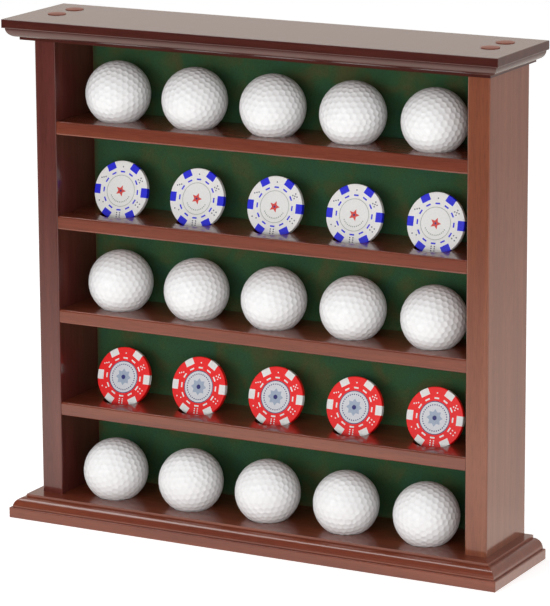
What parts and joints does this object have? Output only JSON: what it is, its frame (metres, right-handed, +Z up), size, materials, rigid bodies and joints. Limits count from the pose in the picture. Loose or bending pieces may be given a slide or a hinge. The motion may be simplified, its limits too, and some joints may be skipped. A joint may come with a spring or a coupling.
{
  "type": "golf ball display case",
  "caption": "Open-fronted wooden wall or shelf case with moulded crown and base, felt back and rows of round seats that hold golf balls and standing chips.",
  "frame": {"origin": "centre of the case's bounding rectangle at the underside of the base board", "axes": "+X to the right across the case, -Y out of the open front, +Z up"},
  "size_m": [0.3526, 0.077, 0.334],
  "materials": {
    "lacquered_mahogany": "dark red-brown mahogany stain under a clear gloss lacquer",
    "cap_wood": "turned wood cap, lighter stain, satin lacquer",
    "green_felt": "short pressed wool felt",
    "plywood": "plain sanded plywood",
    "dowel_beech": "plain beech",
    "screw_steel": "zinc-plated steel",
    "ball_urethane": "dimpled urethane cover with a clear coat",
    "chip_white": "moulded ABS composite, satin",
    "chip_blue": "moulded ABS composite, satin",
    "chip_red": "moulded ABS composite, satin",
    "chip_label": "printed label under clear film"
  },
  "bodies": {
    "case": {"crown_board": "lacquered_mahogany", "base_board": "lacquered_mahogany", "left_side_panel": "lacquered_mahogany", "right_side_panel": "lacquered_mahogany", "shelf_1": "lacquered_mahogany", "shelf_2": "lacquered_mahogany", "shelf_3": "lacquered_mahogany", "shelf_4": "lacquered_mahogany", "back_panel": "plywood", "felt_lining": "green_felt", "crown_screws": "screw_steel", "crown_screw_caps": "cap_wood", "base_screws": "screw_steel", "shelf_dowels": "dowel_beech", "back_panel_screws": "screw_steel"},
    "ball_top_1": {"ball_top_1": "ball_urethane"},
    "ball_top_2": {"ball_top_2": "ball_urethane"},
    "ball_top_3": {"ball_top_3": "ball_urethane"},
    "ball_top_4": {"ball_top_4": "ball_urethane"},
    "ball_top_5": {"ball_top_5": "ball_urethane"},
    "ball_middle_1": {"ball_middle_1": "ball_urethane"},
    "ball_middle_2": {"ball_middle_2": "ball_urethane"},
    "ball_middle_3": {"ball_middle_3": "ball_urethane"},
    "ball_middle_4": {"ball_middle_4": "ball_urethane"},
    "ball_middle_5": {"ball_middle_5": "ball_urethane"},
    "ball_bottom_1": {"ball_bottom_1": "ball_urethane"},
    "ball_bottom_2": {"ball_bottom_2": "ball_urethane"},
    "ball_bottom_3": {"ball_bottom_3": "ball_urethane"},
    "ball_bottom_4": {"ball_bottom_4": "ball_urethane"},
    "ball_bottom_5": {"ball_bottom_5": "ball_urethane"},
    "white_chip_1": {"white_chip_1_body": "chip_white", "white_chip_1_inserts": "chip_blue", "white_chip_1_labels": "chip_label"},
    "white_chip_2": {"white_chip_2_body": "chip_white", "white_chip_2_inserts": "chip_blue", "white_chip_2_labels": "chip_label"},
    "white_chip_3": {"white_chip_3_body": "chip_white", "white_chip_3_inserts": "chip_blue", "white_chip_3_labels": "chip_label"},
    "white_chip_4": {"white_chip_4_body": "chip_white", "white_chip_4_inserts": "chip_blue", "white_chip_4_labels": "chip_label"},
    "white_chip_5": {"white_chip_5_body": "chip_white", "white_chip_5_inserts": "chip_blue", "white_chip_5_labels": "chip_label"},
    "red_chip_1": {"red_chip_1_body": "chip_red", "red_chip_1_inserts": "chip_white", "red_chip_1_labels": "chip_label"},
    "red_chip_2": {"red_chip_2_body": "chip_red", "red_chip_2_inserts": "chip_white", "red_chip_2_labels": "chip_label"},
    "red_chip_3": {"red_chip_3_body": "chip_red", "red_chip_3_inserts": "chip_white", "red_chip_3_labels": "chip_label"},
    "red_chip_4": {"red_chip_4_body": "chip_red", "red_chip_4_inserts": "chip_white", "red_chip_4_labels": "chip_label"},
    "red_chip_5": {"red_chip_5_body": "chip_red", "red_chip_5_inserts": "chip_white", "red_chip_5_labels": "chip_label"}
  },
  "joints": [
    {"name": "lift_ball_top_1", "type": "slide", "parent": "case", "child": "ball_top_1", "axis": [0, 0, 1], "range_m": [0, 0.014]},
    {"name": "lift_ball_top_2", "type": "slide", "parent": "case", "child": "ball_top_2", "axis": [0, 0, 1], "range_m": [0, 0.014]},
    {"name": "lift_ball_top_3", "type": "slide", "parent": "case", "child": "ball_top_3", "axis": [0, 0, 1], "range_m": [0, 0.014]},
    {"name": "lift_ball_top_4", "type": "slide", "parent": "case", "child": "ball_top_4", "axis": [0, 0, 1], "range_m": [0, 0.014]},
    {"name": "lift_ball_top_5", "type": "slide", "parent": "case", "child": "ball_top_5", "axis": [0, 0, 1], "range_m": [0, 0.014]},
    {"name": "lift_ball_middle_1", "type": "slide", "parent": "case", "child": "ball_middle_1", "axis": [0, 0, 1], "range_m": [0, 0.014]},
    {"name": "lift_ball_middle_2", "type": "slide", "parent": "case", "child": "ball_middle_2", "axis": [0, 0, 1], "range_m": [0, 0.014]},
    {"name": "lift_ball_middle_3", "type": "slide", "parent": "case", "child": "ball_middle_3", "axis": [0, 0, 1], "range_m": [0, 0.014]},
    {"name": "lift_ball_middle_4", "type": "slide", "parent": "case", "child": "ball_middle_4", "axis": [0, 0, 1], "range_m": [0, 0.014]},
    {"name": "lift_ball_middle_5", "type": "slide", "parent": "case", "child": "ball_middle_5", "axis": [0, 0, 1], "range_m": [0, 0.014]},
    {"name": "lift_ball_bottom_1", "type": "slide", "parent": "case", "child": "ball_bottom_1", "axis": [0, 0, 1], "range_m": [0, 0.014]},
    {"name": "lift_ball_bottom_2", "type": "slide", "parent": "case", "child": "ball_bottom_2", "axis": [0, 0, 1], "range_m": [0, 0.014]},
    {"name": "lift_ball_bottom_3", "type": "slide", "parent": "case", "child": "ball_bottom_3", "axis": [0, 0, 1], "range_m": [0, 0.014]},
    {"name": "lift_ball_bottom_4", "type": "slide", "parent": "case", "child": "ball_bottom_4", "axis": [0, 0, 1], "range_m": [0, 0.014]},
    {"name": "lift_ball_bottom_5", "type": "slide", "parent": "case", "child": "ball_bottom_5", "axis": [0, 0, 1], "range_m": [0, 0.014]},
    {"name": "lift_white_chip_1", "type": "slide", "parent": "case", "child": "white_chip_1", "axis": [0, 0, 1], "range_m": [0, 0.018]},
    {"name": "lift_white_chip_2", "type": "slide", "parent": "case", "child": "white_chip_2", "axis": [0, 0, 1], "range_m": [0, 0.018]},
    {"name": "lift_white_chip_3", "type": "slide", "parent": "case", "child": "white_chip_3", "axis": [0, 0, 1], "range_m": [0, 0.018]},
    {"name": "lift_white_chip_4", "type": "slide", "parent": "case", "child": "white_chip_4", "axis": [0, 0, 1], "range_m": [0, 0.018]},
    {"name": "lift_white_chip_5", "type": "slide", "parent": "case", "child": "white_chip_5", "axis": [0, 0, 1], "range_m": [0, 0.018]},
    {"name": "lift_red_chip_1", "type": "slide", "parent": "case", "child": "red_chip_1", "axis": [0, 0, 1], "range_m": [0, 0.018]},
    {"name": "lift_red_chip_2", "type": "slide", "parent": "case", "child": "red_chip_2", "axis": [0, 0, 1], "range_m": [0, 0.018]},
    {"name": "lift_red_chip_3", "type": "slide", "parent": "case", "child": "red_chip_3", "axis": [0, 0, 1], "range_m": [0, 0.018]},
    {"name": "lift_red_chip_4", "type": "slide", "parent": "case", "child": "red_chip_4", "axis": [0, 0, 1], "range_m": [0, 0.018]},
    {"name": "lift_red_chip_5", "type": "slide", "parent": "case", "child": "red_chip_5", "axis": [0, 0, 1], "range_m": [0, 0.018]}
  ]
}
